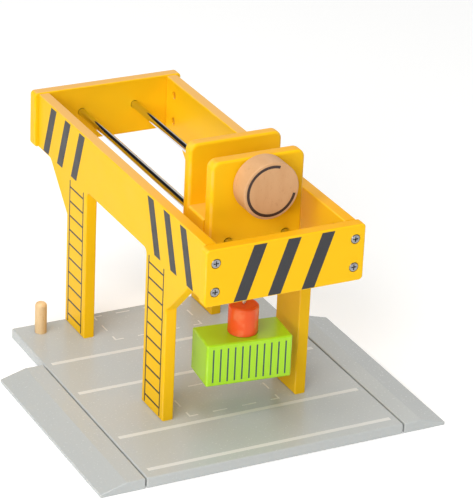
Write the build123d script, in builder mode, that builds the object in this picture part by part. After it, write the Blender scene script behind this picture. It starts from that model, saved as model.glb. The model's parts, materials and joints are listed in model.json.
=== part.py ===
"""Toy gantry crane on a road plate, with a trolley, a hand winder, a magnet and a container."""

from build123d import *
import os

os.makedirs("parts", exist_ok=True)

# Frame: X across the crane, +Y from the winder end to the far end, +Z up, ground at Z = 0.
# The origin is under the middle of the whole toy's box.

# ---- driving dimensions, mm ----
board = 9.0                 # thickness of every painted crane board
edge_round = 1.2            # rounding of the painted edges
play = 0.05                 # radial clearance of glued and turned pins
seam = 0.1                  # gap between parts that bear on each other and turn or slide

base_width = 203.0
base_depth = 244.0
base_thick = 8.0
base_front = -154.0

ramp_gap = 1.2              # seam between the road plate and each ramp
ramp_flat = 14.0            # level strip along the inner edge of a ramp
ramp_width = 33.8
ramp_lip = 2.4              # height of the outer edge
ramp_length = 181.0
ramp_round = 0.8
ramp_dowel_r = 2.0
ramp_dowel_length = 20.0
ramp_dowel_inset = 30.0     # from each end of the ramp
ramp_dowel_chamfer = 0.5

crane_mid_y = 2.0
crane_length = 304.0
crane_width = 116.0         # over the side panels
end_board_width = 122.4     # the end boards stand proud of the panels on both sides
end_board_corner = 3.0
rear_board_rise = 1.0       # and the rear one a little above them
crane_top = 172.0
beam_height = 43.0
leg_inner = 52.0            # from the crane's middle to the inner side of a leg
leg_width = 35.0
gusset = 32.5
portal_fillet = 4.0
gusset_fillet = 5.0

rod_r = 3.0
rod_x = 22.2
rod_z = 152.6
rod_pocket_depth = 6.0
rod_pocket_r = 3.2
rod_chamfer = 0.4

screw_spacing_z = 21.4
screw_length = 26.0
screw_r = 1.5
screw_head_r = 3.5
screw_head_height = 2.0
screw_head_round = 0.8
screw_head_play = 0.2
screw_tip_chamfer = 0.6
screw_hole_extra = 3.0      # drilled past the tip of a screw
cross_span = 4.0            # the cross recess in a screw head
cross_width = 0.9
cross_depth = 1.3
cross_taper = 8             # degrees
nut_r = 3.0
nut_length = 7.0
nut_inset = 14.0            # from the end of a side panel
nut_cover = 1.0             # wood left over a barrel nut on the outer face
leg_screw_length = 27.0
leg_screw_spacing = 18.0
leg_screw_sink = 0.4        # the heads sit this far inside the underside

peg_r = 4.5
peg_height = 25.0           # above the road plate
peg_x = -83.2
peg_y = 76.7
peg_depth = 5.0
peg_round = 3.0

trolley_width = 71.7
trolley_mid_x = -0.9        # its plates sit a little to the left of the axle
trolley_bottom = 138.0
trolley_top = 214.0
front_plate_thick = 10.0
rear_plate_thick = 9.0
block_length = 24.5
block_height = 30.0
trolley_front = -105.5
plate_round = 2.5
plate_top_corner = 6.5
plate_bottom_corner = 4.0
running = 0.08              # radial clearance of the winder's bores
rod_play = 0.35             # and of the trolley's bores for the rods
block_round = 2.0
block_bore_play = 0.6       # the block clears the rods, which only the plates guide
block_dowel_r = 2.5
block_dowel_length = 14.0
block_dowel_x = 12.5
block_dowel_chamfer = 0.4

axle_r = 3.0
axle_z = 195.0
knob_r = 21.1
knob_thick = 17.5
knob_gap = 1.0              # between the knob and the trolley, filled by a washer
knob_round = 1.0
axle_depth_in_knob = 12.0
washer_r = 6.5
collar_r = 6.0
collar_thick = 5.0
collar_round = 1.5
collar_cover = 1.0          # wood behind the end of the axle

string_r = 0.6
hoist_y = -85.0
wound_width = 8.0
string_hole_r = 3.0
string_drop = 0.3           # below the axle, where the string leaves it
swing_gap = 0.4             # below the trolley, where the load starts to swing

magnet_bottom = 69.0
holder_r = 11.0
holder_height = 22.0
holder_top_round = 2.0
holder_bottom_round = 0.8
magnet_r = 7.0
magnet_thick = 5.0
magnet_chamfer = 0.3
knot_r = 1.7
anchor_knot_r = 2.0         # the knot inside the holder
knot_play = 0.6
knot_chamber = 6.0          # height of its chamber above the magnet
holder_bore_r = 1.0

container_width = 65.0
container_depth = 32.0
container_height = 33.0
container_round = 1.5
container_yaw = -6.0        # degrees, as it hangs
magnet_gap = 0.1            # seam between the magnet and the steel disc
steel_disc_r = 8.0
steel_disc_thick = 1.2
steel_disc_chamfer = 0.2

# ---- places worked out from them ----
base_mid_y = base_front + base_depth / 2
panel_x = (crane_width - board) / 2
panel_length = crane_length - 2 * board
panel_front = crane_mid_y - panel_length / 2
panel_back = crane_mid_y + panel_length / 2
beam_bottom = crane_top - beam_height
beam_mid_z = crane_top - beam_height / 2
leg_outer = leg_inner + leg_width
leg_mid = leg_inner + leg_width / 2
ramp_inner_x = base_width / 2 + ramp_gap
ramp_mid_y = base_front + ramp_length / 2
block_front = trolley_front + front_plate_thick
rear_plate_front = block_front + block_length
rear_plate_back = rear_plate_front + rear_plate_thick
knob_back = trolley_front - knob_gap
knob_front = knob_back - knob_thick
drum_r = axle_r + string_r
hoist_x = drum_r
holder_top = magnet_bottom + holder_height
knot_mid_z = holder_top + seam + knot_r
string_bottom = knot_mid_z + knot_r
drum_string_top = axle_z - axle_r - string_drop
hoist_string_top = trolley_bottom - swing_gap
container_top = magnet_bottom - magnet_gap
container_bottom = container_top - container_height
screw_heights = (beam_mid_z - screw_spacing_z / 2, beam_mid_z + screw_spacing_z / 2)


def save(piece, name):
    piece.part.label = name
    export_step(piece.part, f"parts/{name}.step")


# ---- the road plate ----
with BuildPart() as base_plate:
    with BuildSketch(Plane.XY):
        with Locations((0, base_mid_y)):
            Rectangle(base_width, base_depth)
    extrude(amount=base_thick)
    fillet(base_plate.edges(), edge_round)
    # hole for the turned peg
    with Locations((peg_x, peg_y, base_thick)):
        Hole(peg_r + play, depth=peg_depth + play)
    # countersunk screw holes under the legs
    with BuildSketch(Plane.XY):
        for leg_y in (-leg_mid, leg_mid):
            with Locations((0, crane_mid_y + leg_y)):
                with GridLocations(2 * panel_x, leg_screw_spacing, 2, 2):
                    Circle(screw_r + play)
    extrude(amount=base_thick, mode=Mode.SUBTRACT)
    with BuildSketch(Plane.XY):
        for leg_y in (-leg_mid, leg_mid):
            with Locations((0, crane_mid_y + leg_y)):
                with GridLocations(2 * panel_x, leg_screw_spacing, 2, 2):
                    Circle(screw_head_r + play)
    extrude(amount=screw_head_height + leg_screw_sink, mode=Mode.SUBTRACT)
    # blind holes in both side edges for the ramps' locating dowels
    for side in (-1, 1):
        edge_plane = Plane((side * base_width / 2, ramp_mid_y, base_thick / 2), x_dir=(0, 1, 0),
                           z_dir=(-side, 0, 0))
        with BuildSketch(edge_plane):
            with GridLocations(ramp_length - 2 * ramp_dowel_inset, 1, 2, 1):
                Circle(ramp_dowel_r + play)
        extrude(amount=ramp_dowel_length / 2, mode=Mode.SUBTRACT)
save(base_plate, "base_plate")


# ---- the two drive-on ramps ----
def build_ramp(side):
    """One ramp. side is -1 for the left ramp and 1 for the right one."""
    outer_x = ramp_inner_x + ramp_width
    with BuildPart() as ramp:
        with BuildSketch(Plane.XZ.offset(-base_front)):
            with BuildLine():
                Polyline((side * ramp_inner_x, 0), (side * outer_x, 0), (side * outer_x, ramp_lip),
                         (side * (ramp_inner_x + ramp_flat), base_thick),
                         (side * ramp_inner_x, base_thick), close=True)
            make_face()
        extrude(amount=-ramp_length)
        fillet(ramp.edges(), ramp_round)
        inner_plane = Plane((side * ramp_inner_x, ramp_mid_y, base_thick / 2), x_dir=(0, 1, 0),
                            z_dir=(side, 0, 0))
        with BuildSketch(inner_plane):
            with GridLocations(ramp_length - 2 * ramp_dowel_inset, 1, 2, 1):
                Circle(ramp_dowel_r + play)
        extrude(amount=ramp_dowel_length / 2, mode=Mode.SUBTRACT)
    return ramp


def build_ramp_dowels(side):
    """The two locating dowels glued into a ramp, half their length standing out of it."""
    length = ramp_dowel_length - ramp_gap - 2 * play
    start_x = ramp_inner_x + ramp_dowel_length / 2 - play
    with BuildPart() as dowels:
        dowel_plane = Plane((side * start_x, ramp_mid_y, base_thick / 2), x_dir=(0, 1, 0),
                            z_dir=(-side, 0, 0))
        with BuildSketch(dowel_plane):
            with GridLocations(ramp_length - 2 * ramp_dowel_inset, 1, 2, 1):
                Circle(ramp_dowel_r)
        extrude(amount=length)
        chamfer(dowels.edges().filter_by(GeomType.CIRCLE), ramp_dowel_chamfer)
    return dowels


for side, word in ((-1, "left"), (1, "right")):
    save(build_ramp(side), f"{word}_ramp")
    save(build_ramp_dowels(side), f"{word}_ramp_dowels")


# ---- the turned peg ----
with BuildPart() as corner_peg:
    peg_bottom = Plane.XY.offset(base_thick - peg_depth)
    with BuildSketch(peg_bottom):
        with Locations((peg_x, peg_y)):
            Circle(peg_r)
    extrude(amount=peg_depth + peg_height)
    fillet(corner_peg.faces().sort_by(Axis.Z)[-1].edges(), peg_round)
save(corner_peg, "corner_peg")


# ---- the side panels, each a beam and two legs cut from one board ----
def build_side_panel(side):
    """One panel with its gussets. side is -1 for the left panel and 1 for the right one."""
    with BuildPart() as panel:
        with BuildSketch(Plane.YZ.offset(side * panel_x - board / 2)) as outline:
            with BuildLine():
                Polyline((panel_front, crane_top), (panel_front, beam_bottom),
                         (crane_mid_y - leg_outer - gusset, beam_bottom),
                         (crane_mid_y - leg_outer, beam_bottom - gusset),
                         (crane_mid_y - leg_outer, base_thick),
                         (crane_mid_y - leg_inner, base_thick),
                         (crane_mid_y - leg_inner, beam_bottom),
                         (crane_mid_y + leg_inner, beam_bottom),
                         (crane_mid_y + leg_inner, base_thick),
                         (crane_mid_y + leg_outer, base_thick),
                         (crane_mid_y + leg_outer, beam_bottom - gusset),
                         (crane_mid_y + leg_outer + gusset, beam_bottom),
                         (panel_back, beam_bottom), (panel_back, crane_top), close=True)
            make_face()
            corners = outline.vertices()
            portal = corners.filter_by_position(Axis.X, crane_mid_y - leg_inner, crane_mid_y + leg_inner)
            portal = portal.filter_by_position(Axis.Y, beam_bottom - 1, beam_bottom + 1)
            fillet(portal, portal_fillet)
            reach = leg_outer + gusset
            for end_y in (crane_mid_y - reach, crane_mid_y + reach):
                knee = outline.vertices().filter_by_position(Axis.X, end_y - 1, end_y + 1)
                fillet(knee.filter_by_position(Axis.Y, beam_bottom - 1, beam_bottom + 1), gusset_fillet)
        extrude(amount=board)
        fillet(panel.edges().group_by(Axis.X)[0] + panel.edges().group_by(Axis.X)[-1], edge_round)
        # blind holes for the barrel nuts, drilled from the inner face
        inner_face = Plane((side * (panel_x - board / 2), 0, 0), x_dir=(0, 1, 0), z_dir=(side, 0, 0))
        with BuildSketch(inner_face):
            for nut_y in (panel_front + nut_inset, panel_back - nut_inset):
                for z in screw_heights:
                    with Locations((nut_y, side * z)):
                        Circle(nut_r + play)
        extrude(amount=board - nut_cover, mode=Mode.SUBTRACT)
        # screw holes in both ends of the beam
        for end_y, inward in ((panel_front, 1), (panel_back, -1)):
            end_plane = Plane((side * panel_x, end_y, 0), x_dir=(1, 0, 0), z_dir=(0, inward, 0))
            with BuildSketch(end_plane):
                for z in screw_heights:
                    with Locations((0, -inward * z)):
                        Circle(screw_r + play)
            extrude(amount=screw_length - board + screw_hole_extra, mode=Mode.SUBTRACT)
        # screw holes up the legs
        with BuildSketch(Plane.XY.offset(base_thick)):
            for leg_y in (-leg_mid, leg_mid):
                with Locations((side * panel_x, crane_mid_y + leg_y)):
                    with GridLocations(1, leg_screw_spacing, 1, 2):
                        Circle(screw_r + play)
        extrude(amount=leg_screw_length - base_thick + screw_hole_extra, mode=Mode.SUBTRACT)
    return panel


for side, word in ((-1, "left"), (1, "right")):
    save(build_side_panel(side), f"{word}_side_panel")


# ---- the end boards, which cover the ends of the side panels and hold the rods ----
def build_end_board(outer_y, inward, rise):
    """One end board. inward is the way along Y to the crane's middle, rise how far it tops the panels."""
    outer_face = Plane((0, outer_y, 0), x_dir=(1, 0, 0), z_dir=(0, inward, 0))
    inner_face = Plane((0, outer_y + inward * board, 0), x_dir=(1, 0, 0), z_dir=(0, -inward, 0))
    with BuildPart() as end_board:
        with BuildSketch(outer_face) as outline:
            with Locations((0, -inward * (beam_mid_z + rise / 2))):
                Rectangle(end_board_width, beam_height + rise)
            fillet(outline.vertices(), end_board_corner)
        extrude(amount=board)
        fillet(end_board.edges().group_by(Axis.Y)[0] + end_board.edges().group_by(Axis.Y)[-1], edge_round)
        with BuildSketch(outer_face):
            with Locations((0, -inward * beam_mid_z)):
                with GridLocations(2 * panel_x, screw_spacing_z, 2, 2):
                    Circle(screw_r + play)
        extrude(amount=board, mode=Mode.SUBTRACT)
        with BuildSketch(outer_face):
            with Locations((0, -inward * beam_mid_z)):
                with GridLocations(2 * panel_x, screw_spacing_z, 2, 2):
                    Circle(screw_head_r + screw_head_play)
        extrude(amount=screw_head_height + seam, mode=Mode.SUBTRACT)
        with BuildSketch(inner_face):
            with Locations((0, inward * rod_z)):
                with GridLocations(2 * rod_x, 1, 2, 1):
                    Circle(rod_pocket_r)
        extrude(amount=rod_pocket_depth, mode=Mode.SUBTRACT)
    return end_board


board_front = crane_mid_y - crane_length / 2
board_back = crane_mid_y + crane_length / 2
save(build_end_board(board_front, 1, 0), "front_board")
save(build_end_board(board_back, -1, rear_board_rise), "rear_board")


# ---- the two steel rods that the trolley runs on ----
def build_rod(x):
    """One rod, seated in the pockets of both end boards."""
    start_y = board_front + board - rod_pocket_depth + play
    end_y = board_back - board + rod_pocket_depth - play
    with BuildPart() as rod:
        with BuildSketch(Plane.XZ.offset(-start_y)):
            with Locations((x, rod_z)):
                Circle(rod_r)
        extrude(amount=start_y - end_y)
        chamfer(rod.edges().filter_by(GeomType.CIRCLE), rod_chamfer)
    return rod


save(build_rod(-rod_x), "left_rod")
save(build_rod(rod_x), "right_rod")


# ---- screws and barrel nuts ----
def build_screw(length):
    """A cross-head screw, point up, with the underside of its head at Z = 0."""
    with BuildPart() as screw:
        with BuildSketch(Plane.XY.offset(-screw_head_height)):
            Circle(screw_head_r)
        extrude(amount=screw_head_height)
        fillet(screw.faces().sort_by(Axis.Z)[0].edges(), screw_head_round)
        with BuildSketch(Plane.XY):
            Circle(screw_r)
        extrude(amount=length)
        chamfer(screw.faces().sort_by(Axis.Z)[-1].edges(), screw_tip_chamfer)
        with BuildSketch(Plane.XY.offset(-screw_head_height)):
            Rectangle(cross_span, cross_width)
            Rectangle(cross_width, cross_span)
        extrude(amount=cross_depth, taper=cross_taper, mode=Mode.SUBTRACT)
    return screw.part


def build_nut():
    """A barrel nut along X with its thread hole along Y."""
    with BuildPart() as nut:
        with BuildSketch(Plane.YZ.offset(-nut_length / 2)):
            Circle(nut_r)
        extrude(amount=nut_length)
        with BuildSketch(Plane.XZ.offset(-nut_r)):
            Circle(screw_r + play)
        extrude(amount=2 * nut_r, mode=Mode.SUBTRACT)
    return nut.part


board_screw = build_screw(screw_length - screw_head_height)
leg_screw = build_screw(leg_screw_length - screw_head_height)
barrel_nut = build_nut()
end_places = [(side * panel_x, z) for side in (-1, 1) for z in screw_heights]

with BuildPart() as front_screws:
    add([Location((x, board_front + screw_head_height, z), (-90, 0, 0)) * board_screw
         for x, z in end_places])
save(front_screws, "front_screws")

with BuildPart() as rear_screws:
    add([Location((x, board_back - screw_head_height, z), (90, 0, 0)) * board_screw
         for x, z in end_places])
save(rear_screws, "rear_screws")

with BuildPart() as front_barrel_nuts:
    add([Location((x, panel_front + nut_inset, z)) * barrel_nut for x, z in end_places])
save(front_barrel_nuts, "front_barrel_nuts")

with BuildPart() as rear_barrel_nuts:
    add([Location((x, panel_back - nut_inset, z)) * barrel_nut for x, z in end_places])
save(rear_barrel_nuts, "rear_barrel_nuts")

leg_head_z = screw_head_height + leg_screw_sink
for leg_y, word in ((-leg_mid, "front"), (leg_mid, "rear")):
    with BuildPart() as leg_screws:
        add([Location((side * panel_x, crane_mid_y + leg_y + step, leg_head_z)) * leg_screw
             for side in (-1, 1) for step in (-leg_screw_spacing / 2, leg_screw_spacing / 2)])
    save(leg_screws, f"{word}_leg_screws")


# ---- the trolley: two plates and the block between them ----
def build_trolley_plate(front_y, thick, dowel_plane):
    """One upright plate with bores for the rods and the winder, and blind holes for its dowels."""
    height = trolley_top - trolley_bottom
    with BuildPart() as plate:
        with BuildSketch(Plane.XZ.offset(-front_y)) as outline:
            with Locations((trolley_mid_x, trolley_bottom + height / 2)):
                Rectangle(trolley_width, height)
            fillet(outline.vertices().group_by(Axis.Y)[-1], plate_top_corner)
            fillet(outline.vertices().group_by(Axis.Y)[0], plate_bottom_corner)
        extrude(amount=-thick)
        fillet(plate.edges().group_by(Axis.Y)[0] + plate.edges().group_by(Axis.Y)[-1], plate_round)
        with BuildSketch(Plane.XZ.offset(-front_y)):
            with Locations((0, rod_z)):
                with GridLocations(2 * rod_x, 1, 2, 1):
                    Circle(rod_r + rod_play)
            with Locations((0, axle_z)):
                Circle(axle_r + running)
        extrude(amount=-thick, mode=Mode.SUBTRACT)
        with BuildSketch(dowel_plane):
            with GridLocations(2 * block_dowel_x, 1, 2, 1):
                Circle(block_dowel_r + play)
        extrude(amount=block_dowel_length / 2, mode=Mode.SUBTRACT)
    return plate


front_joint = Plane((0, block_front, rod_z), x_dir=(1, 0, 0), z_dir=(0, -1, 0))
rear_joint = Plane((0, rear_plate_front, rod_z), x_dir=(1, 0, 0), z_dir=(0, 1, 0))
save(build_trolley_plate(trolley_front, front_plate_thick, front_joint), "trolley_front_plate")
save(build_trolley_plate(rear_plate_front, rear_plate_thick, rear_joint), "trolley_rear_plate")

with BuildPart() as trolley_block:
    with BuildSketch(Plane.XZ.offset(-block_front)):
        with Locations((trolley_mid_x, trolley_bottom + block_height / 2)):
            Rectangle(trolley_width, block_height)
    extrude(amount=-block_length)
    fillet(trolley_block.edges().filter_by(Axis.Y), block_round)
    with BuildSketch(Plane.XZ.offset(-block_front)):
        with Locations((0, rod_z)):
            with GridLocations(2 * rod_x, 1, 2, 1):
                Circle(rod_r + block_bore_play)
    extrude(amount=-block_length, mode=Mode.SUBTRACT)
    with BuildSketch(Plane.XY.offset(trolley_bottom)):
        with Locations((hoist_x, hoist_y)):
            Circle(string_hole_r)
    extrude(amount=block_height, mode=Mode.SUBTRACT)
    for joint_plane in (front_joint, rear_joint):
        with BuildSketch(joint_plane):
            with GridLocations(2 * block_dowel_x, 1, 2, 1):
                Circle(block_dowel_r + play)
        extrude(amount=-block_dowel_length / 2, mode=Mode.SUBTRACT)
save(trolley_block, "trolley_block")

for joint_plane, word in ((front_joint, "front"), (rear_joint, "rear")):
    with BuildPart() as block_dowels:
        with BuildSketch(joint_plane):
            with GridLocations(2 * block_dowel_x, 1, 2, 1):
                Circle(block_dowel_r)
        extrude(amount=block_dowel_length / 2 - play, both=True)
        rims = block_dowels.edges().filter_by(GeomType.CIRCLE).group_by(Axis.Y)
        chamfer(rims[0] + rims[-1], block_dowel_chamfer)
    save(block_dowels, f"trolley_{word}_dowels")


# ---- the winder: axle, knob, washer, end collar and the wound string ----
def build_turned(front_y, back_y, outer_r, bore_r=0.0):
    """A plain disc or tube about the winder's axis."""
    with BuildPart() as turned:
        with BuildSketch(Plane.XZ.offset(-front_y)):
            with Locations((0, axle_z)):
                Circle(outer_r)
                if bore_r:
                    Circle(bore_r, mode=Mode.SUBTRACT)
        extrude(amount=front_y - back_y)
    return turned


axle_front = knob_back - axle_depth_in_knob + play
axle_back = rear_plate_back + collar_thick - collar_cover
save(build_turned(axle_front, axle_back, axle_r), "winding_axle")
save(build_turned(knob_back + seam, trolley_front - seam, washer_r, axle_r + play), "knob_washer")
save(build_turned(hoist_y - wound_width / 2, hoist_y + wound_width / 2, axle_r + 2 * string_r,
                  axle_r + play), "wound_string")

with BuildPart() as winding_knob:
    with BuildSketch(Plane.XZ.offset(-knob_front)):
        with Locations((0, axle_z)):
            Circle(knob_r)
    extrude(amount=-knob_thick)
    fillet(winding_knob.edges(), knob_round)
    with BuildSketch(Plane.XZ.offset(-knob_back)):
        with Locations((0, axle_z)):
            Circle(axle_r + play)
    extrude(amount=axle_depth_in_knob, mode=Mode.SUBTRACT)
save(winding_knob, "winding_knob")

with BuildPart() as axle_collar:
    with BuildSketch(Plane.XZ.offset(-rear_plate_back - seam)):
        with Locations((0, axle_z)):
            Circle(collar_r)
    extrude(amount=-collar_thick)
    fillet(axle_collar.faces().sort_by(Axis.Y)[-1].edges(), collar_round)
    with BuildSketch(Plane.XZ.offset(-rear_plate_back)):
        with Locations((0, axle_z)):
            Circle(axle_r + play)
    extrude(amount=-(axle_back - rear_plate_back + play), mode=Mode.SUBTRACT)
save(axle_collar, "axle_collar")


# ---- the hoist: string, knots, holder and magnet ----
def build_string(bottom_z, top_z):
    """A straight stretch of the string where it hangs."""
    with BuildPart() as stretch:
        with BuildSketch(Plane.XY.offset(bottom_z)):
            with Locations((hoist_x, hoist_y)):
                Circle(string_r)
        extrude(amount=top_z - bottom_z)
    return stretch


save(build_string(trolley_bottom, drum_string_top), "drum_string")
save(build_string(string_bottom, hoist_string_top), "hoist_string")

anchor_mid_z = magnet_bottom + magnet_thick + knot_play + anchor_knot_r
with BuildPart() as string_knots:
    with Locations((hoist_x, hoist_y, knot_mid_z)):
        Sphere(knot_r)
    with Locations((hoist_x, hoist_y, anchor_mid_z)):
        Sphere(anchor_knot_r)
    with BuildSketch(Plane.XY.offset(anchor_mid_z)):
        with Locations((hoist_x, hoist_y)):
            Circle(string_r)
    extrude(amount=knot_mid_z - anchor_mid_z)
save(string_knots, "string_knots")

with BuildPart() as magnet_holder:
    with BuildSketch(Plane.XY.offset(magnet_bottom)):
        with Locations((hoist_x, hoist_y)):
            Circle(holder_r)
    extrude(amount=holder_height)
    fillet(magnet_holder.faces().sort_by(Axis.Z)[-1].edges(), holder_top_round)
    fillet(magnet_holder.faces().sort_by(Axis.Z)[0].edges(), holder_bottom_round)
    # pocket for the magnet, room for the lower knot, and a way up for the string
    for radius, depth in ((magnet_r + play, magnet_thick),
                          (anchor_knot_r + knot_play, magnet_thick + knot_chamber),
                          (holder_bore_r, holder_height)):
        with BuildSketch(Plane.XY.offset(magnet_bottom)):
            with Locations((hoist_x, hoist_y)):
                Circle(radius)
        extrude(amount=depth, mode=Mode.SUBTRACT)
save(magnet_holder, "magnet_holder")

with BuildPart() as magnet_disc:
    with BuildSketch(Plane.XY.offset(magnet_bottom)):
        with Locations((hoist_x, hoist_y)):
            Circle(magnet_r)
    extrude(amount=magnet_thick)
    chamfer(magnet_disc.edges(), magnet_chamfer)
save(magnet_disc, "magnet_disc")


# ---- the container and the steel disc that the magnet holds ----
container_plane = Plane((hoist_x, hoist_y, container_bottom)).rotated((0, 0, container_yaw))

with BuildPart() as container_block:
    with BuildSketch(container_plane):
        Rectangle(container_width, container_depth)
    extrude(amount=container_height)
    fillet(container_block.edges(), container_round)
    with BuildSketch(container_plane.offset(container_height - steel_disc_thick)):
        Circle(steel_disc_r + play)
    extrude(amount=steel_disc_thick, mode=Mode.SUBTRACT)
save(container_block, "container_block")

with BuildPart() as container_disc:
    with BuildSketch(container_plane.offset(container_height - steel_disc_thick)):
        Circle(steel_disc_r)
    extrude(amount=steel_disc_thick)
    chamfer(container_disc.faces().sort_by(Axis.Z)[-1].edges(), steel_disc_chamfer)
save(container_disc, "container_disc")
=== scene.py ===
import json
import math

import bmesh
import bpy
from mathutils import Matrix, Vector


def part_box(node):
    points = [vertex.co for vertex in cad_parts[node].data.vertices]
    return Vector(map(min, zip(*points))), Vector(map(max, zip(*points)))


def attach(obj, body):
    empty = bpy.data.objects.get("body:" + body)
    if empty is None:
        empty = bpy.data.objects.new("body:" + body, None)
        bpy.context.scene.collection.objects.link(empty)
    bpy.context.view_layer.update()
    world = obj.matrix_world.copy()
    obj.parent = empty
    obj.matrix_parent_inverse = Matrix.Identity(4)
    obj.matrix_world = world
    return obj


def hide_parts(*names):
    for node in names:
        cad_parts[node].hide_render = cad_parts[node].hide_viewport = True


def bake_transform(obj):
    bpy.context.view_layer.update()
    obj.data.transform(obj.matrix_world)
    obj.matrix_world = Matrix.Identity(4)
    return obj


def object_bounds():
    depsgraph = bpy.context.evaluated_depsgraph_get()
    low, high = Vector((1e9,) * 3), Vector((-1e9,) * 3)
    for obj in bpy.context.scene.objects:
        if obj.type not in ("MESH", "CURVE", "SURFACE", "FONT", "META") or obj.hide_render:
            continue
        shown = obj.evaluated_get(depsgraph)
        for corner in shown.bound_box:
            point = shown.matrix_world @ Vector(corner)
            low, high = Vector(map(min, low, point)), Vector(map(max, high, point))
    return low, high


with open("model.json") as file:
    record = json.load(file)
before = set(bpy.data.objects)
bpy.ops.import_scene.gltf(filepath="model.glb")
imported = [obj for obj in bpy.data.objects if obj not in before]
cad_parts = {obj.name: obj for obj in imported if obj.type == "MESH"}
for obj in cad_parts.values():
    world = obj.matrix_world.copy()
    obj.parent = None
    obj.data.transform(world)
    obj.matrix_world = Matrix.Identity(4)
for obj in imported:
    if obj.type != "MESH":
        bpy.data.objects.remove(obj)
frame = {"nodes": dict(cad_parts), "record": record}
cad_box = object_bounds()
MM = 0.001

# A toy gantry crane in metres, with Z up and its front towards -Y. The CAD nodes get their finishes, the
# printed marks become thin raised pieces, twisted string stands for the plain one, and a small studio
# and the photograph's camera go round it all.

CAMERA_AZIMUTH = -27.8516
CAMERA_ELEVATION = 25.2981
CAMERA_ROLL = 2.7257
CAMERA_TARGET = Vector((49.2426, 16.5269, 80.0)) * MM
CAMERA_DISTANCE = 2026.5877 * MM
CAMERA_LENS = 205.895           # Blender takes this and the sensor's width in mm
CAMERA_SENSOR = 36.0

# ---- the string, its coil on the winding axle and its knots ----
STRING_R = 0.6 * MM
STRANDS = 3
STRAND_SHARE = 0.52             # a strand's radius as a share of the string's
STRAND_LAY = 3.4 * MM           # one full twist of the strands
STRAND_STEP = STRAND_LAY / 10   # between the points of a straight stretch
AXLE_R = 3.0 * MM
WOUND_TURNS = 6
STEPS_PER_TURN = 40
KNOT_R = 1.55 * MM
KNOT_CORD_R = 0.72 * MM
KNOT_STEPS = 96
KNOT_MEAN, KNOT_SWING = 0.62, 0.38      # how far its loop is from the middle, as shares of its reach
KNOT_RISE = 0.9                         # and how far it climbs
LOWER_KNOT_UP = 2.0 * MM                # the lower knot's middle above the bottom of string_knots

# ---- how a print lies on its board ----
PRINT_PROUD = 0.06 * MM         # its surface above the board
PRINT_SUNK = 0.08 * MM          # and its underside below it

# ---- the prints: places and sizes in mm, along the toy's own axes ----
ROAD_LINE_WIDTH = 3.9
ROAD_LINES_Y = (24.9, -24.3, -94.9, -143.1)
ROAD_LINE_MARGIN = 5.2
BAY_HALF_WIDTH = 36.0
BAY_LINE = 1.35
BAY_DASH_X = (6.0, 17.5)
BAY_CORNER = 6.0
BAYS_Y = ((-85.3, -44.3), (43.3, 84.0))
BAY_SIDE_DASH = 10.0
STRIPES = 3                     # on an end board, and at each end of a side panel
STRIPE_WIDTH = 9.9
STRIPE_PITCH = 26.1
STRIPE_LEAN = 14.0
PANEL_STRIPE_Z = (130.3, 170.7)
BOARD_STRIPE_Z = (129.9, 170.3)
BOARD_PRINT_MID_X = -1.1
PANEL_PRINT_MID_Y = 4.5
PANEL_STRIPE_TOP = 59.2         # from the middle of the print to the first stripe's top
LADDER_HALF_WIDTH = 12.2
LADDER_Z = (10.0, 126.7)
LADDER_LINE = 1.45
LADDER_FIRST_RUNG = 16.1
LADDER_RUNG_STEP = 11.7
LADDER_RUNGS = 10
LADDER_MIDS_Y = (-67.5, 71.5)
ARC_RADIUS = 18.0
ARC_WIDTH = 2.1
ARC_FROM, ARC_TO = 71.0, 348.0  # degrees from +X towards +Z
ARC_STEPS = 90
CONTAINER_YAW = math.radians(-6.0)
CONTAINER_DEPTH = 32.0
CONTAINER_LINES = 11
CONTAINER_LINE_PITCH = 5.5
CONTAINER_LINE_WIDTH = 1.15
CONTAINER_LINE_MARGINS = (3.1, 3.6)     # below and above the lines


# ---- materials ----
TOP_NEAR_Y, TOP_FAR_Y = -130.0 * MM, 20.0 * MM  # where a top face has its near and its far painted reflection
TOP_SHARE = 0.9                 # and how much of that painted reflection shows
MAP_RANGE_ENDS = ("From Min", "From Max", "To Min", "To Max")


def rgb(code):
    """A linear colour from an sRGB hex code."""
    parts = [int(code[i:i + 2], 16) / 255 for i in (0, 2, 4)]
    linear = [part / 12.92 if part <= 0.04045 else ((part + 0.055) / 1.055) ** 2.4 for part in parts]
    return (*linear, 1.0)


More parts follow.
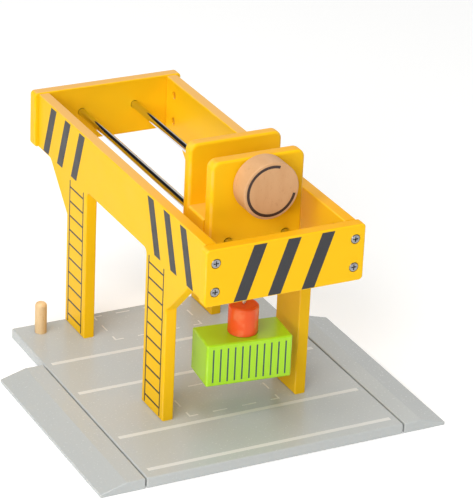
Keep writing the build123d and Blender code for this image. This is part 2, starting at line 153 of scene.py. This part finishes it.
class Look:
    """A short way to write one material's nodes."""

    def __init__(self, name):
        self.material = bpy.data.materials.new(name)
        self.material.use_nodes = True
        self.tree = self.material.node_tree
        self.shader = self.tree.nodes["Principled BSDF"]

    def new(self, kind, **values):
        node = self.tree.nodes.new(kind)
        for name, value in values.items():
            setattr(node, name, value)
        return node

    def link(self, start, end):
        self.tree.links.new(start, end)

    def feed(self, socket, value):
        """Gives a socket another node's output or a plain value."""
        if isinstance(value, bpy.types.NodeSocket):
            self.link(value, socket)
        else:
            socket.default_value = value

    def place(self, scale=(1, 1, 1)):
        """The point on the object, in metres, times scale: marks run long where the scale is small."""
        texture = self.new("ShaderNodeTexCoord")
        mapping = self.new("ShaderNodeMapping")
        mapping.inputs["Scale"].default_value = scale
        self.link(texture.outputs["Object"], mapping.inputs["Vector"])
        return mapping.outputs["Vector"]

    def noise(self, scale, detail, stretch=(1, 1, 1), roughness=0.5, distortion=0.0):
        """Noise between 0 and 1, whose largest marks are about 1 / scale metres wide."""
        node = self.new("ShaderNodeTexNoise")
        node.inputs["Scale"].default_value = scale
        node.inputs["Detail"].default_value = detail
        node.inputs["Roughness"].default_value = roughness
        node.inputs["Distortion"].default_value = distortion
        self.link(self.place(stretch), node.inputs["Vector"])
        return node.outputs["Fac"]

    def remap(self, value, low, high, to_low, to_high):
        """A value that runs from low to high, run from to_low to to_high instead and kept between them."""
        node = self.new("ShaderNodeMapRange")
        for name, number in zip(MAP_RANGE_ENDS, (low, high, to_low, to_high)):
            node.inputs[name].default_value = number
        self.link(value, node.inputs["Value"])
        return node.outputs["Result"]

    def mix(self, factor, first, second):
        """A colour from the first at factor 0 to the second at factor 1."""
        node = self.new("ShaderNodeMix", data_type="RGBA")
        # a Mix node has sockets for each type of data: these are the ones for colours
        for index, value in ((0, factor), (6, first), (7, second)):
            self.feed(node.inputs[index], value)
        return node.outputs[2]

    def combine(self, operation, first, second):
        """What an operation, such as ADD or MAXIMUM, makes of two values."""
        node = self.new("ShaderNodeMath", operation=operation)
        self.feed(node.inputs[0], first)
        self.feed(node.inputs[1], second)
        return node.outputs[0]

    def bump(self, height, strength, distance):
        node = self.new("ShaderNodeBump")
        node.inputs["Strength"].default_value = strength
        node.inputs["Distance"].default_value = distance
        self.link(height, node.inputs["Height"])
        self.link(node.outputs["Normal"], self.shader.inputs["Normal"])

    def colour(self, socket):
        self.link(socket, self.shader.inputs["Base Color"])

    def roughness(self, socket):
        self.link(socket, self.shader.inputs["Roughness"])

    def facing_up(self, start=0.75, full=0.97):
        """1 on level upper faces and 0 on upright ones."""
        geometry = self.new("ShaderNodeNewGeometry")
        split = self.new("ShaderNodeSeparateXYZ")
        self.link(geometry.outputs["Normal"], split.inputs[0])
        return self.remap(split.outputs["Z"], start, full, 0.0, 1.0)

    def rounded_edges(self, start=0.96, full=0.9):
        """1 on a board's rounded edges and 0 on its faces, the gussets' 45 degree ones included."""
        geometry = self.new("ShaderNodeNewGeometry")
        size = self.new("ShaderNodeVectorMath", operation="ABSOLUTE")
        self.link(geometry.outputs["Normal"], size.inputs[0])
        split = self.new("ShaderNodeSeparateXYZ")
        self.link(size.outputs["Vector"], split.inputs[0])
        x, y, z = (split.outputs[axis] for axis in "XYZ")
        slant = self.combine("MULTIPLY", self.combine("ADD", y, z), math.sqrt(0.5))
        nearest = self.combine("MAXIMUM", self.combine("MAXIMUM", x, y), self.combine("MAXIMUM", z, slant))
        return self.remap(nearest, start, full, 0.0, 1.0)


def lacquer(name, main, deep, edge, roughness=0.4, gloss=0.1, top=None):
    """Sprayed lacquer over board: faint clouding, fine grain under it, and a painted highlight in patches
    on the rounded edges.

    top has the near and the far colour of a painted reflection on the faces that look up: a deeper orange
    near the front and a pale tan sheen towards the back.
    """
    look = Look(name)
    body = look.mix(look.noise(7.0, 2.0), rgb(deep), rgb(main))
    fibres = look.noise(60.0, 6.0, stretch=(1, 1, 9), roughness=0.6)
    body = look.mix(look.remap(fibres, 0.45, 0.75, 0.0, 0.05), body, rgb(deep))
    if top:
        # painted reflection on the faces that look up: deeper orange near the front, pale tan sheen
        # towards the back
        along = look.new("ShaderNodeSeparateXYZ")
        look.link(look.place(), along.inputs[0])
        far = look.remap(along.outputs["Y"], TOP_NEAR_Y, TOP_FAR_Y, 0.0, 1.0)
        top_reflection = look.mix(far, rgb(top[0]), rgb(top[1]))
        body = look.mix(look.combine("MULTIPLY", look.facing_up(), TOP_SHARE), body, top_reflection)
    # painted highlight: the edge colour in patches over the rounded edges
    patches = look.remap(look.noise(90.0, 4.0), 0.4, 0.62, 0.0, 0.4)
    edge_highlight = look.combine("MULTIPLY", look.rounded_edges(), patches)
    look.colour(look.mix(edge_highlight, body, rgb(edge)))
    look.roughness(look.remap(look.noise(45.0, 4.0), 0.0, 1.0, roughness - 0.1, roughness + 0.1))
    look.shader.inputs["Specular IOR Level"].default_value = gloss
    peel = look.combine("MULTIPLY", look.noise(420.0, 2.0), 0.7)
    look.bump(look.combine("ADD", peel, look.combine("MULTIPLY", fibres, 0.3)), 0.03, 0.0002)
    return look.material


def road_lacquer(name, main, deep, edge):
    """The road's grey: glossier than the crane's lacquer, with a fine speckle and a painted highlight in
    patches on the rounded edges.
    """
    look = Look(name)
    body = look.mix(look.noise(650.0, 3.0), rgb(deep), rgb(main))
    speckle = look.remap(look.noise(1100.0, 2.0), 0.55, 0.8, 0.0, 0.12)
    body = look.mix(speckle, body, rgb(edge))
    # painted highlight: the edge colour in patches over the rounded edges
    patches = look.remap(look.noise(110.0, 4.0), 0.4, 0.6, 0.1, 0.6)
    edge_highlight = look.combine("MULTIPLY", look.rounded_edges(), patches)
    look.colour(look.mix(edge_highlight, body, rgb(edge)))
    look.roughness(look.remap(look.noise(650.0, 2.0), 0.2, 0.8, 0.25, 0.28))
    look.shader.inputs["Specular IOR Level"].default_value = 0.5
    look.bump(look.noise(520.0, 3.0), 0.02, 0.0002)
    return look.material


def ink(name, main, thin):
    """Screen-printed ink: nearly even, a little thinner in specks."""
    look = Look(name)
    specks = look.remap(look.noise(700.0, 3.0), 0.56, 0.78, 0.0, 0.45)
    look.colour(look.mix(specks, rgb(main), rgb(thin)))
    look.roughness(look.remap(look.noise(90.0, 3.0), 0.3, 0.7, 0.38, 0.5))
    look.bump(look.noise(900.0, 2.0), 0.05, 0.0002)
    return look.material


def bare_beech(name, main, dark, fleck, stretch):
    """Sanded beech: long soft grain with the short dark flecks of its rays."""
    look = Look(name)
    bands = look.noise(95.0, 5.0, stretch=stretch, roughness=0.55, distortion=0.4)
    body = look.mix(look.remap(bands, 0.34, 0.66, 0.0, 1.0), rgb(main), rgb(dark))
    ray_stretch = [0.25 + 0.75 * share for share in stretch]
    rays = look.noise(520.0, 3.0, stretch=ray_stretch, roughness=0.7)
    look.colour(look.mix(look.remap(rays, 0.58, 0.7, 0.0, 0.55), body, rgb(fleck)))
    look.roughness(look.remap(bands, 0.3, 0.7, 0.5, 0.64))
    look.bump(look.combine("ADD", bands, look.combine("MULTIPLY", rays, 0.6)), 0.14, 0.0004)
    return look.material


def metal(name, main, dull, roughness, stretch=(1, 1, 1), spread=0.12):
    """Plated metal with fine drawing or polishing marks, which add up to spread to its roughness."""
    look = Look(name)
    look.shader.inputs["Metallic"].default_value = 1.0
    marks = look.noise(240.0, 5.0, stretch=stretch, roughness=0.65)
    look.colour(look.mix(look.remap(marks, 0.4, 0.75, 0.0, 0.6), rgb(main), rgb(dull)))
    look.roughness(look.remap(marks, 0.3, 0.7, roughness, roughness + spread))
    look.bump(marks, 0.05, 0.0001)
    return look.material


def cotton(name, main, shade):
    """Twisted cotton, with tiny fibres that run up and down the string."""
    look = Look(name)
    fuzz = look.noise(2600.0, 4.0, stretch=(1, 1, 0.35), roughness=0.7)
    look.colour(look.mix(look.remap(fuzz, 0.35, 0.65, 0.0, 1.0), rgb(shade), rgb(main)))
    look.roughness(look.remap(fuzz, 0.3, 0.7, 0.82, 0.95))
    look.shader.inputs["Sheen Weight"].default_value = 0.3
    look.bump(fuzz, 0.35, 0.0001)
    return look.material


def plastic(name, main, shade):
    """Moulded matt plastic."""
    look = Look(name)
    look.colour(look.mix(look.remap(look.noise(120.0, 3.0), 0.3, 0.7, 0.0, 1.0), rgb(shade), rgb(main)))
    look.roughness(look.remap(look.noise(800.0, 2.0), 0.3, 0.7, 0.45, 0.6))
    look.bump(look.noise(1500.0, 2.0), 0.1, 0.0001)
    return look.material


# the third colour of each lacquer, and of the road grey, is a painted highlight on the rounded edges; on
# the road grey it also tints the fine speckle
# the yellow's top pair is a painted reflection on its faces that look up: deeper orange near the front,
# pale tan towards the back
YELLOW = lacquer("yellow_lacquer", "FBC617", "F9C213", "EFC068", top=("EDA90C", "EAB468"))
GREEN = lacquer("green_lacquer", "AEE524", "ABE120", "CCE982", roughness=0.22, gloss=0.4)
ORANGE = lacquer("orange_lacquer", "F5602A", "F25A26", "F79A62", roughness=0.22, gloss=0.22)
ROAD_GREY = road_lacquer("road_grey", "BABEBD", "B6B9B8", "C8C9C6")
BLACK_INK = ink("black_ink", "2C2C30", "3C3C40")
LADDER_INK = ink("ladder_ink", "2C2118", "4A3826")
WHITE_INK = ink("road_marking_ink", "D8D8D4", "CDCDC9")
GREEN_INK = ink("container_line_ink", "3E5E52", "5A7F5A")
ARC_INK = ink("knob_arc_ink", "36211A", "4A3026")
KNOB_BEECH = bare_beech("knob_beech", "D6A676", "D09E6D", "C5905F", stretch=(1, 0.3, 0.35))
PEG_BEECH = bare_beech("peg_beech", "EACB9C", "DDB680", "C99A62", stretch=(1, 1, 0.15))
CHROME = metal("polished_chrome", "D9DADD", "BFC1C6", 0.06, stretch=(1, 0.04, 1), spread=0.06)
ZINC = metal("zinc_plate", "A6A7A9", "66686B", 0.24)
# the barrel nuts' yellow tint is a painted reflection of the yellow panels round them
NUT_ZINC = metal("zinc_plate_with_painted_yellow_reflection", "E8C465", "C9A24A", 0.3)
NICKEL = metal("nickel_plate", "B4B2AC", "8B8983", 0.2)
COTTON = cotton("white_cotton", "F0EBDD", "CFC8B6")
WASHER = plastic("washer_plastic", "E4E0D4", "D6D1C3")

SLOT_MATERIALS = {
    "yellow_paint": YELLOW,
    "grey_paint": ROAD_GREY,
    "beech": PEG_BEECH,
    "rod_chrome": CHROME,
    "zinc_steel": ZINC,
    "white_string": COTTON,
    "orange_paint": ORANGE,
    "magnet_metal": NICKEL,
    "green_paint": GREEN,
    "washer_plastic": WASHER,
}
# the nodes whose finish isn't their slot's
NODE_MATERIALS = {
    "winding_knob": KNOB_BEECH,
    "front_barrel_nuts": NUT_ZINC,
    "rear_barrel_nuts": NUT_ZINC,
}
SOFT_ANGLE = math.radians(38)   # faces that meet at a smaller angle are shaded as one
# the ramps keep the crisp ridge between their slope and their bridge
RIDGED = ("left_ramp", "right_ramp")
RIDGED_SOFT_ANGLE = math.radians(13)


def soften(data, angle):
    """Soft shading over rounded edges that leaves flat faces flat: normals averaged by area."""
    least = math.cos(angle)
    data.shade_smooth()
    around = [[] for _ in data.vertices]
    for face in data.polygons:
        for vertex in face.vertices:
            around[vertex].append(face)
    normals = []
    for face in data.polygons:
        for vertex in face.vertices:
            near = [other for other in around[vertex] if other.normal.dot(face.normal) > least]
            normals.append(sum((other.normal * other.area for other in near), Vector()).normalized())
    data.normals_split_custom_set(normals)


def dress_cad_nodes():
    """Gives every CAD node its finish and soft shading."""
    slots = {part["node"]: part["material_slot"] for part in frame["record"]["subparts"]}
    for name, node in frame["nodes"].items():
        node.data.materials.clear()
        node.data.materials.append(NODE_MATERIALS.get(name, SLOT_MATERIALS[slots[name]]))
        soften(node.data, RIDGED_SOFT_ANGLE if name in RIDGED else SOFT_ANGLE)


# ---- meshes and pieces ----
def add_skin(mesh, rings):
    """Faces over rings of vertices, closed at both ends."""
    for one, two in zip(rings, rings[1:]):
        for i in range(len(one)):
            j = (i + 1) % len(one)
            mesh.faces.new((one[i], one[j], two[j], two[i]))
    mesh.faces.new(rings[0][::-1])
    mesh.faces.new(rings[-1])


def piece_from(mesh, name, material, body, smooth=False):
    """Closes a mesh and makes it a piece, which rides on a body if one is given."""
    bmesh.ops.recalc_face_normals(mesh, faces=mesh.faces)
    data = bpy.data.meshes.new(name)
    mesh.to_mesh(data)
    mesh.free()
    data.materials.append(material)
    if smooth:
        data.shade_smooth()
    piece = bpy.data.objects.new(name, data)
    bpy.context.scene.collection.objects.link(piece)
    if body:
        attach(piece, body)
    return piece


# ---- prints ----
class Face:
    """A flat face to print on: mm coordinates (u, v) on it become points in space."""

    def __init__(self, origin, u, v, out):
        self.origin, self.u, self.v, self.out = Vector(origin), Vector(u), Vector(v), Vector(out)

    def at(self, point, height):
        return self.origin + self.u * point[0] * MM + self.v * point[1] * MM + self.out * height


def add_ribbon(mesh, face, left, right):
    """A thin slab of ink between two lines of points on the face."""
    rings = []
    for one, two in zip(left, right):
        corners = ((one, PRINT_PROUD), (two, PRINT_PROUD), (two, -PRINT_SUNK), (one, -PRINT_SUNK))
        rings.append([mesh.verts.new(face.at(point, height)) for point, height in corners])
    add_skin(mesh, rings)


def add_bar(mesh, face, low, high):
    """A plain rectangle of ink from one corner to the other."""
    add_ribbon(mesh, face, [(low[0], low[1]), (low[0], high[1])], [(high[0], low[1]), (high[0], high[1])])


def road_face():
    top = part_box("base_plate")[1].z
    return Face((0, 0, top), (1, 0, 0), (0, 1, 0), (0, 0, 1))


def print_road_lines():
    """The white lines across the road plate."""
    mesh, face = bmesh.new(), road_face()
    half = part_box("base_plate")[1].x / MM - ROAD_LINE_MARGIN
    for y in ROAD_LINES_Y:
        add_bar(mesh, face, (-half, y - ROAD_LINE_WIDTH / 2), (half, y + ROAD_LINE_WIDTH / 2))
    piece_from(mesh, "road_lines", WHITE_INK, "root")


def add_bay(mesh, face, front, back):
    """A dashed loading bay: four corners, two dashes on each long side and one on each short side."""
    half = BAY_LINE / 2
    middle = (front + back) / 2
    for side in (-1, 1):
        x = side * BAY_HALF_WIDTH
        add_bar(mesh, face, (x - half, middle - BAY_SIDE_DASH / 2), (x + half, middle + BAY_SIDE_DASH / 2))
        for y, inward in ((front, 1), (back, -1)):
            inner = x - side * BAY_CORNER
            add_bar(mesh, face, (min(x, inner) - half, y - half), (max(x, inner) + half, y + half))
            ends = sorted((y + inward * half, y + inward * BAY_CORNER))
            add_bar(mesh, face, (x - half, ends[0]), (x + half, ends[1]))
            dash = sorted((side * BAY_DASH_X[0], side * BAY_DASH_X[1]))
            add_bar(mesh, face, (dash[0], y - half), (dash[1], y + half))


def print_bays():
    """The loading bays, one towards the front and one towards the rear."""
    mesh, face = bmesh.new(), road_face()
    for front, back in BAYS_Y:
        add_bay(mesh, face, front, back)
    piece_from(mesh, "loading_bay_marks", WHITE_INK, "root")


def add_stripe(mesh, face, top_u, lean, heights):
    """One slanting warning stripe over the height of a board. top_u is the middle of its top end."""
    low, high = heights
    half = STRIPE_WIDTH / 2
    bottom_u = top_u + lean
    add_ribbon(mesh, face, [(bottom_u - half, low), (top_u - half, high)],
               [(bottom_u + half, low), (top_u + half, high)])


def panel_face(side):
    """The outer face of a side panel, with u along +Y and v along +Z on both sides of the crane."""
    low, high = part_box("right_side_panel" if side > 0 else "left_side_panel")
    return Face((high.x if side > 0 else low.x, 0, 0), (0, 1, 0), (0, 0, 1), (side, 0, 0))


def print_panel(side, word):
    """Stripes at both ends of a side panel, mirrored about the middle of the print."""
    mesh, face = bmesh.new(), panel_face(side)
    for end in (-1, 1):
        for i in range(STRIPES):
            top = PANEL_PRINT_MID_Y + end * (PANEL_STRIPE_TOP + i * STRIPE_PITCH)
            add_stripe(mesh, face, top, end * STRIPE_LEAN, PANEL_STRIPE_Z)
    piece_from(mesh, f"{word}_panel_stripes", BLACK_INK, "root")


def print_ladders(side, word):
    """A ladder on each of a side panel's legs."""
    mesh, face = bmesh.new(), panel_face(side)
    half = LADDER_LINE / 2
    for middle in LADDER_MIDS_Y:
        for rail in (-LADDER_HALF_WIDTH, LADDER_HALF_WIDTH):
            u = middle + rail
            add_bar(mesh, face, (u - half, LADDER_Z[0]), (u + half, LADDER_Z[1]))
        reach = LADDER_HALF_WIDTH - half
        for i in range(LADDER_RUNGS):
            z = LADDER_FIRST_RUNG + i * LADDER_RUNG_STEP
            add_bar(mesh, face, (middle - reach, z - half), (middle + reach, z + half))
    piece_from(mesh, f"{word}_leg_ladders", LADDER_INK, "root")


def print_end_board(node, outward):
    """Stripes on an end board's outer face, which looks along -Y where outward is -1."""
    low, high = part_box(node)
    y = low.y if outward < 0 else high.y
    mesh, face = bmesh.new(), Face((0, y, 0), (-outward, 0, 0), (0, 0, 1), (0, outward, 0))
    for i in range(STRIPES):
        top = BOARD_PRINT_MID_X + (i - (STRIPES - 1) / 2) * STRIPE_PITCH + STRIPE_LEAN / 2
        add_stripe(mesh, face, top, -STRIPE_LEAN, BOARD_STRIPE_Z)
    piece_from(mesh, f"{node}_stripes", BLACK_INK, "root")


def print_knob_arc():
    """The open ring on the knob's face."""
    low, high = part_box("winding_knob")
    middle = ((low.x + high.x) / 2, low.y, (low.z + high.z) / 2)
    mesh, face = bmesh.new(), Face(middle, (1, 0, 0), (0, 0, 1), (0, -1, 0))
    angles = [math.radians(ARC_FROM + (ARC_TO - ARC_FROM) * i / ARC_STEPS) for i in range(ARC_STEPS + 1)]

    def ring(radius):
        return [(radius * math.cos(angle), radius * math.sin(angle)) for angle in angles]

    add_ribbon(mesh, face, ring(ARC_RADIUS + ARC_WIDTH / 2), ring(ARC_RADIUS - ARC_WIDTH / 2))
    piece_from(mesh, "knob_arc", ARC_INK, "winder")


def print_container():
    """The upright lines on the container's two long sides."""
    low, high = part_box("container_block")
    middle = (low + high) / 2
    across = Vector((math.cos(CONTAINER_YAW), math.sin(CONTAINER_YAW), 0))
    depth = Vector((-across.y, across.x, 0))
    bottom, top = low.z / MM + CONTAINER_LINE_MARGINS[0], high.z / MM - CONTAINER_LINE_MARGINS[1]
    half = CONTAINER_LINE_WIDTH / 2
    mesh = bmesh.new()
    for side in (-1, 1):
        origin = Vector((middle.x, middle.y, 0)) + depth * side * CONTAINER_DEPTH / 2 * MM
        face = Face(origin, across * -side, (0, 0, 1), depth * side)
        for i in range(CONTAINER_LINES):
            u = (i - (CONTAINER_LINES - 1) / 2) * CONTAINER_LINE_PITCH
            add_bar(mesh, face, (u - half, bottom), (u + half, top))
    piece_from(mesh, "container_lines", GREEN_INK, "container")


# ---- string ----
def places_along(points):
    """Each point with two cross directions, which turn as little as possible from one to the next."""
    places = []
    across = None
    for i, point in enumerate(points):
        ahead = points[min(i + 1, len(points) - 1)] - points[max(i - 1, 0)]
        tangent = ahead.normalized()
        if across is None:
            across = tangent.orthogonal().normalized()
        across = (across - tangent * across.dot(tangent)).normalized()
        places.append((point, across.copy(), tangent.cross(across)))
    return places


def on_circle(place, radius, turn):
    """A point on the circle round a place, in the plane of its two cross directions."""
    point, across, other = place
    return point + (across * math.cos(turn) + other * math.sin(turn)) * radius


def add_tube(mesh, points, radius, sides):
    """A round tube along points."""
    turns = [2 * math.pi * i / sides for i in range(sides)]
    rings = []
    for place in places_along(points):
        rings.append([mesh.verts.new(on_circle(place, radius, turn)) for turn in turns])
    add_skin(mesh, rings)


def add_twist(mesh, path, sides=8):
    """The string's strands, twisted round each other along a path of close points."""
    strand_r = STRING_R * STRAND_SHARE
    orbit = STRING_R - strand_r
    places = places_along(path)
    travelled, total = [0.0], 0.0
    for one, two in zip(path, path[1:]):
        total += (two - one).length
        travelled.append(total)
    for strand in range(STRANDS):
        points = []
        for place, distance in zip(places, travelled):
            turn = 2 * math.pi * (distance / STRAND_LAY + strand / STRANDS)
            points.append(on_circle(place, orbit, turn))
        add_tube(mesh, points, strand_r, sides)


def straight(start, end):
    """Points close enough together for the strands to twist along a straight stretch."""
    count = max(2, int((end - start).length / STRAND_STEP))
    return [start.lerp(end, i / count) for i in range(count + 1)]


def make_string(node, rides):
    """The taut stretch of twisted string that stands for a CAD node, riding on one body, or on none where
    it runs between two.
    """
    low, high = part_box(node)
    x, y = (low.x + high.x) / 2, (low.y + high.y) / 2
    start, end = Vector((x, y, high.z)), Vector((x, y, low.z))
    path = straight(start, end)
    mesh = bmesh.new()
    add_twist(mesh, path)
    body = rides[0] if len(rides) == 1 else None
    piece = piece_from(mesh, f"{node}_strands", COTTON, body, smooth=True)
    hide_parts(node)
    if len(rides) == 2:
        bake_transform(piece)


def make_coil():
    """The turns of string wound on the axle."""
    low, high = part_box("wound_string")
    middle = (low + high) / 2
    radius = AXLE_R + STRING_R
    width = high.y - low.y - 2 * STRING_R
    steps = WOUND_TURNS * STEPS_PER_TURN
    path = []
    for i in range(steps + 1):
        turn = 2 * math.pi * i / STEPS_PER_TURN
        y = middle.y - width / 2 + width * i / steps
        path.append(Vector((middle.x + radius * math.cos(turn), y, middle.z + radius * math.sin(turn))))
    mesh = bmesh.new()
    add_twist(mesh, path, sides=6)
    coil = piece_from(mesh, "wound_string_coil", COTTON, "winder", smooth=True)
    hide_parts("wound_string")


def knot_path(centre, reach):
    """One pull of an overhand knot: a loop that wanders over and under itself."""
    points = []
    for i in range(KNOT_STEPS + 1):
        turn = 2 * math.pi * i / KNOT_STEPS
        radius = reach * (KNOT_MEAN + KNOT_SWING * math.cos(3 * turn))
        rise = reach * KNOT_RISE * math.sin(3 * turn)
        points.append(centre + Vector((radius * math.cos(2 * turn), radius * math.sin(2 * turn), rise)))
    return points


def make_knots():
    """The knot on top of the holder, the one inside it, and the string between them."""
    low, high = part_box("string_knots")
    x, y = (low.x + high.x) / 2, (low.y + high.y) / 2
    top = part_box("magnet_holder")[1].z
    upper = Vector((x, y, (top + high.z) / 2))
    lower = Vector((x, y, low.z + LOWER_KNOT_UP))
    mesh = bmesh.new()
    for centre in (upper, lower):
        add_tube(mesh, knot_path(centre, KNOT_R - KNOT_CORD_R), KNOT_CORD_R, sides=10)
    add_twist(mesh, straight(lower, Vector((x, y, high.z))))
    knots = piece_from(mesh, "string_knots_tied", COTTON, "hoist", smooth=True)
    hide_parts("string_knots")


# ---- floor, light and camera ----
# Two parts of the room: the azimuth and elevation of each one's middle, and the cosines of the angles
# from it where the part starts and where it is at its full level.
WALL_SIDE, WALL_FADE = (152, 25), (0.1, 0.8)    # the bright wall behind the toy
DARK_SIDE, DARK_FADE = (194, 33), (0.84, 0.94)  # and the unlit gap beside it
WALL_LEVEL = 0.7
ROOM_LEVEL = 0.12
DARK_SHARE = 0.03               # what is left of the light in the gap
# each soft box: azimuth and elevation in degrees, distance and size in metres, power in watts
SOFT_BOXES = {
    "key_light": (-46, 26, 3.2, (1.8, 1.7), 63.5),
    "fill_light": (-78, 54, 3.5, (1.3, 1.2), 27),
    "top_light": (-45, 85, 3.5, (2.0, 1.8), 54),
}
FLOOR_GLOW = 0.15               # keeps the floor near white where the lights fall off
FLOOR_RADIUS = 4.0
FLOOR_SIDES = 64


def towards(azimuth, elevation):
    azimuth, elevation = math.radians(azimuth), math.radians(elevation)
    level = math.cos(elevation)
    return Vector((math.sin(azimuth) * level, -math.cos(azimuth) * level, math.sin(elevation)))


def make_floor():
    """A round pale floor under the toy."""
    mesh = bmesh.new()
    rim = []
    for i in range(FLOOR_SIDES):
        turn = 2 * math.pi * i / FLOOR_SIDES
        rim.append(mesh.verts.new((FLOOR_RADIUS * math.cos(turn), FLOOR_RADIUS * math.sin(turn), 0)))
    mesh.faces.new(rim)
    look = Look("studio_floor")
    look.colour(look.mix(look.noise(1.5, 2.0), rgb("FAFAF9"), rgb("F8F8F7")))
    look.shader.inputs["Roughness"].default_value = 0.85
    look.shader.inputs["Emission Color"].default_value = (1, 1, 1, 1)
    look.shader.inputs["Emission Strength"].default_value = FLOOR_GLOW
    data = bpy.data.meshes.new("studio_floor")
    mesh.to_mesh(data)
    mesh.free()
    data.materials.append(look.material)
    floor = bpy.data.objects.new("studio_floor", data)
    bpy.context.scene.collection.objects.link(floor)


def make_studio():
    """A dim room for the steel to mirror, with a bright wall behind the toy and an unlit gap beside it."""
    world = bpy.data.worlds.new("studio")
    world.use_nodes = True
    tree = world.node_tree
    background = tree.nodes["Background"]
    background.inputs["Strength"].default_value = 1.0
    way = tree.nodes.new("ShaderNodeTexCoord").outputs["Generated"]

    def part(side, fade, low, high):
        """A level that fades from low to high towards one side of the room."""
        nearness = tree.nodes.new("ShaderNodeVectorMath")
        nearness.operation = "DOT_PRODUCT"
        nearness.inputs[1].default_value = towards(*side)
        tree.links.new(way, nearness.inputs[0])
        ramp = tree.nodes.new("ShaderNodeMapRange")
        ramp.interpolation_type = "SMOOTHSTEP"
        for name, number in zip(MAP_RANGE_ENDS, (*fade, low, high)):
            ramp.inputs[name].default_value = number
        tree.links.new(nearness.outputs["Value"], ramp.inputs["Value"])
        return ramp.outputs["Result"]

    light = tree.nodes.new("ShaderNodeMath")
    light.operation = "MULTIPLY"
    tree.links.new(part(WALL_SIDE, WALL_FADE, ROOM_LEVEL, WALL_LEVEL), light.inputs[0])
    tree.links.new(part(DARK_SIDE, DARK_FADE, 1.0, DARK_SHARE), light.inputs[1])
    tree.links.new(light.outputs["Value"], background.inputs["Color"])
    bpy.context.scene.world = world


def make_soft_box(name, azimuth, elevation, distance, size, power):
    """A soft box that looks at the middle of the toy."""
    way = towards(azimuth, elevation)
    light = bpy.data.lights.new(name, "AREA")
    light.shape = "RECTANGLE"
    light.size, light.size_y = size
    light.energy = power
    lamp = bpy.data.objects.new(name, light)
    bpy.context.scene.collection.objects.link(lamp)
    lamp.location = (cad_box[0] + cad_box[1]) / 2 + way * distance
    lamp.rotation_euler = (-way).to_track_quat("-Z", "Y").to_euler()


def make_lights():
    make_studio()
    for name, values in SOFT_BOXES.items():
        make_soft_box(name, *values)
    bpy.context.scene.view_settings.view_transform = "Standard"


def make_camera():
    """The photograph's viewpoint, with its slight roll."""
    back = towards(CAMERA_AZIMUTH, CAMERA_ELEVATION)
    right = towards(CAMERA_AZIMUTH + 90, 0)
    up = back.cross(right)
    roll = math.radians(CAMERA_ROLL)
    rolled_right = right * math.cos(roll) + up * math.sin(roll)
    rolled_up = up * math.cos(roll) - right * math.sin(roll)
    camera = bpy.data.cameras.new("camera")
    camera.lens = CAMERA_LENS
    camera.sensor_fit = "HORIZONTAL"
    camera.sensor_width = CAMERA_SENSOR
    eye = bpy.data.objects.new("camera", camera)
    bpy.context.scene.collection.objects.link(eye)
    turn = Matrix((rolled_right, rolled_up, back)).transposed().to_4x4()
    eye.matrix_world = Matrix.Translation(CAMERA_TARGET + back * CAMERA_DISTANCE) @ turn
    bpy.context.scene.camera = eye


make_camera()
make_string("drum_string", ["trolley"])
make_string("hoist_string", ["load_line", "hoist"])
make_coil()
make_knots()
dress_cad_nodes()
print_road_lines()
print_bays()
for side, word in ((-1, "left"), (1, "right")):
    print_panel(side, word)
    print_ladders(side, word)
print_end_board("front_board", -1)
print_end_board("rear_board", 1)
print_knob_arc()
print_container()
make_floor()
make_lights()
